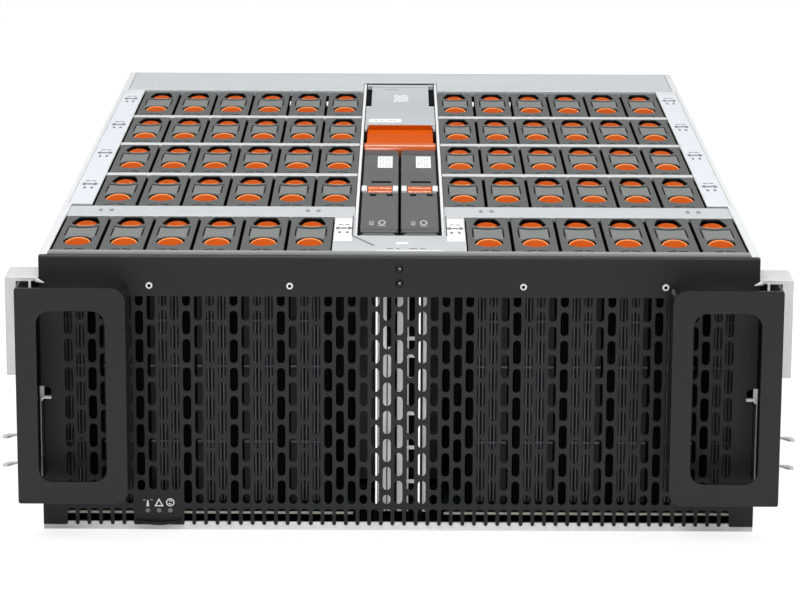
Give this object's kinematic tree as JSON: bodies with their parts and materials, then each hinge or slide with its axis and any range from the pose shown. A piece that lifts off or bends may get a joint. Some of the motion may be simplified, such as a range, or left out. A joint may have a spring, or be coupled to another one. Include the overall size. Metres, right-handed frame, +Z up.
{
  "type": "disk shelf enclosure",
  "caption": "Top-loading rack disk shelf with upright drive carriers, a slotted front with pull handles, and slide-out rear fans, supplies and interface module.",
  "frame": {"origin": "middle of the base of the whole object, handles and rear grips included", "axes": "+X to the right seen from the front, +Y to the back, +Z up"},
  "size_m": [0.488, 0.744, 0.175],
  "materials": {
    "black_coat": "satin black powder coat",
    "galvanised": "galvanised sheet, fine spangle",
    "cap_plastic": "moulded dark grey",
    "orange_plastic": "moulded orange, half gloss",
    "dark_plastic": "moulded charcoal",
    "drive_metal": "cast drive body",
    "circuit_board": "green solder mask",
    "light_pipe": "clear moulded light pipe",
    "steel": "plated steel"
  },
  "bodies": {
    "chassis": {"base_pan": "galvanised", "baseboards": "circuit_board", "bay_partitions": "dark_plastic", "board_standoffs": "steel", "cap_grips": "orange_plastic", "centre_post": "galvanised", "channel_shelves": "galvanised", "channel_surround": "galvanised", "channel_wall_left": "galvanised", "channel_wall_right": "galvanised", "cross_members": "galvanised", "drive_caps": "cap_plastic", "drive_sockets": "dark_plastic", "front_panel": "black_coat", "hard_drives": "drive_metal", "latch_rivets": "steel", "pull_handle_left": "black_coat", "pull_handle_right": "black_coat", "rack_ear_left": "galvanised", "rack_ear_right": "galvanised", "rear_deck": "galvanised", "rear_panel": "galvanised", "row_dividers": "galvanised", "side_wall_left": "galvanised", "side_wall_right": "galvanised", "status_light_pipes": "light_pipe", "status_panel": "black_coat"},
    "outer_carrier": {"outer_carrier_cap": "cap_plastic", "outer_carrier_drive": "drive_metal"},
    "outer_carrier_front_grip": {"outer_carrier_front_grip": "orange_plastic"},
    "outer_carrier_rear_grip": {"outer_carrier_rear_grip": "orange_plastic"},
    "inner_carrier": {"inner_carrier_cap": "cap_plastic", "inner_carrier_drive": "drive_metal"},
    "inner_carrier_front_grip": {"inner_carrier_front_grip": "orange_plastic"},
    "inner_carrier_rear_grip": {"inner_carrier_rear_grip": "orange_plastic"},
    "rack_latch_left": {"rack_latch_left": "galvanised"},
    "rack_latch_right": {"rack_latch_right": "galvanised"},
    "cartridge_left": {"cartridge_case_left": "dark_plastic"},
    "lift_lever_left": {"lift_lever_left": "dark_plastic"},
    "orange_latch_left": {"orange_latch_left": "orange_plastic"},
    "cartridge_right": {"cartridge_case_right": "dark_plastic"},
    "lift_lever_right": {"lift_lever_right": "dark_plastic"},
    "orange_latch_right": {"orange_latch_right": "orange_plastic"},
    "canister": {"canister_case": "galvanised"},
    "canister_bail": {"canister_bail": "orange_plastic"},
    "fan_left_outer": {"fan_left_outer_housing": "dark_plastic"},
    "fan_left_outer_rotor": {"fan_left_outer_rotor": "dark_plastic"},
    "fan_left_inner": {"fan_left_inner_housing": "dark_plastic"},
    "fan_left_inner_rotor": {"fan_left_inner_rotor": "dark_plastic"},
    "fan_right_inner": {"fan_right_inner_housing": "dark_plastic"},
    "fan_right_inner_rotor": {"fan_right_inner_rotor": "dark_plastic"},
    "fan_right_outer": {"fan_right_outer_housing": "dark_plastic"},
    "fan_right_outer_rotor": {"fan_right_outer_rotor": "dark_plastic"},
    "lower_supply": {"lower_supply_case": "galvanised"},
    "lower_supply_latch": {"lower_supply_latch": "orange_plastic"},
    "upper_supply": {"upper_supply_case": "galvanised"},
    "upper_supply_latch": {"upper_supply_latch": "orange_plastic"},
    "interface_module": {"interface_module_case": "galvanised"},
    "ejector_lever": {"ejector_lever": "dark_plastic"}
  },
  "joints": [
    {"name": "outer_carrier_lift", "type": "slide", "parent": "chassis", "child": "outer_carrier", "axis": [0, 0, 1], "range_m": [0, 0.18]},
    {"name": "outer_carrier_front_grip_pinch", "type": "slide", "parent": "outer_carrier", "child": "outer_carrier_front_grip", "axis": [0, 1, 0], "range_m": [0, 0.0015], "stiffness_N_per_m": 200},
    {"name": "outer_carrier_rear_grip_pinch", "type": "slide", "parent": "outer_carrier", "child": "outer_carrier_rear_grip", "axis": [0, 1, 0], "range_m": [-0.0015, 0], "stiffness_N_per_m": 200},
    {"name": "inner_carrier_lift", "type": "slide", "parent": "chassis", "child": "inner_carrier", "axis": [0, 0, 1], "range_m": [0, 0.18]},
    {"name": "inner_carrier_front_grip_pinch", "type": "slide", "parent": "inner_carrier", "child": "inner_carrier_front_grip", "axis": [0, 1, 0], "range_m": [0, 0.0015], "stiffness_N_per_m": 200},
    {"name": "inner_carrier_rear_grip_pinch", "type": "slide", "parent": "inner_carrier", "child": "inner_carrier_rear_grip", "axis": [0, 1, 0], "range_m": [-0.0015, 0], "stiffness_N_per_m": 200},
    {"name": "rack_latch_left_press", "type": "slide", "parent": "chassis", "child": "rack_latch_left", "axis": [1, 0, 0], "range_m": [0, 0.005], "stiffness_N_per_m": 300},
    {"name": "rack_latch_right_press", "type": "slide", "parent": "chassis", "child": "rack_latch_right", "axis": [-1, 0, 0], "range_m": [0, 0.005], "stiffness_N_per_m": 300},
    {"name": "cartridge_left_lift", "type": "slide", "parent": "chassis", "child": "cartridge_left", "axis": [0, 0, 1], "range_m": [0, 0.165]},
    {"name": "lift_lever_left_swing", "type": "hinge", "parent": "cartridge_left", "child": "lift_lever_left", "pos_m": [0, -0.264, 0.169], "axis": [1, 0, 0], "range_deg": [0, 70]},
    {"name": "orange_latch_left_press", "type": "slide", "parent": "cartridge_left", "child": "orange_latch_left", "axis": [0, 1, 0], "range_m": [0, 0.003], "stiffness_N_per_m": 300},
    {"name": "cartridge_right_lift", "type": "slide", "parent": "chassis", "child": "cartridge_right", "axis": [0, 0, 1], "range_m": [0, 0.165]},
    {"name": "lift_lever_right_swing", "type": "hinge", "parent": "cartridge_right", "child": "lift_lever_right", "pos_m": [0, -0.264, 0.169], "axis": [1, 0, 0], "range_deg": [0, 70]},
    {"name": "orange_latch_right_press", "type": "slide", "parent": "cartridge_right", "child": "orange_latch_right", "axis": [0, 1, 0], "range_m": [0, 0.003], "stiffness_N_per_m": 300},
    {"name": "canister_lift", "type": "slide", "parent": "chassis", "child": "canister", "axis": [0, 0, 1], "range_m": [0, 0.11]},
    {"name": "canister_bail_swing", "type": "hinge", "parent": "canister", "child": "canister_bail", "pos_m": [0, 0.112, 0.1665], "axis": [-1, 0, 0], "range_deg": [0, 90]},
    {"name": "fan_left_outer_pull", "type": "slide", "parent": "chassis", "child": "fan_left_outer", "axis": [0, 1, 0], "range_m": [0, 0.08]},
    {"name": "fan_left_outer_rotor_spin", "type": "hinge", "parent": "fan_left_outer", "child": "fan_left_outer_rotor", "pos_m": [-0.1696, 0.328, 0.086], "axis": [0, 1, 0], "continuous": true},
    {"name": "fan_left_inner_pull", "type": "slide", "parent": "chassis", "child": "fan_left_inner", "axis": [0, 1, 0], "range_m": [0, 0.08]},
    {"name": "fan_left_inner_rotor_spin", "type": "hinge", "parent": "fan_left_inner", "child": "fan_left_inner_rotor", "pos_m": [-0.0756, 0.328, 0.086], "axis": [0, 1, 0], "continuous": true},
    {"name": "fan_right_inner_pull", "type": "slide", "parent": "chassis", "child": "fan_right_inner", "axis": [0, 1, 0], "range_m": [0, 0.08]},
    {"name": "fan_right_inner_rotor_spin", "type": "hinge", "parent": "fan_right_inner", "child": "fan_right_inner_rotor", "pos_m": [0.0756, 0.328, 0.086], "axis": [0, 1, 0], "continuous": true},
    {"name": "fan_right_outer_pull", "type": "slide", "parent": "chassis", "child": "fan_right_outer", "axis": [0, 1, 0], "range_m": [0, 0.08]},
    {"name": "fan_right_outer_rotor_spin", "type": "hinge", "parent": "fan_right_outer", "child": "fan_right_outer_rotor", "pos_m": [0.1696, 0.328, 0.086], "axis": [0, 1, 0], "continuous": true},
    {"name": "lower_supply_pull", "type": "slide", "parent": "chassis", "child": "lower_supply", "axis": [0, 1, 0], "range_m": [0, 0.25]},
    {"name": "lower_supply_latch_press", "type": "slide", "parent": "lower_supply", "child": "lower_supply_latch", "axis": [-1, 0, 0], "range_m": [0, 0.0025], "stiffness_N_per_m": 300},
    {"name": "upper_supply_pull", "type": "slide", "parent": "chassis", "child": "upper_supply", "axis": [0, 1, 0], "range_m": [0, 0.25]},
    {"name": "upper_supply_latch_press", "type": "slide", "parent": "upper_supply", "child": "upper_supply_latch", "axis": [-1, 0, 0], "range_m": [0, 0.0025], "stiffness_N_per_m": 300},
    {"name": "interface_module_pull", "type": "slide", "parent": "chassis", "child": "interface_module", "axis": [0, 1, 0], "range_m": [0, 0.07]},
    {"name": "ejector_lever_swing", "type": "hinge", "parent": "interface_module", "child": "ejector_lever", "pos_m": [-0.019, 0.3585, 0.1371], "axis": [0, 0, 1], "range_deg": [0, 80]}
  ],
  "couplings": [
    {"joint": "outer_carrier_rear_grip_pinch", "follows": "outer_carrier_front_grip_pinch", "ratio": -1},
    {"joint": "inner_carrier_rear_grip_pinch", "follows": "inner_carrier_front_grip_pinch", "ratio": -1}
  ]
}
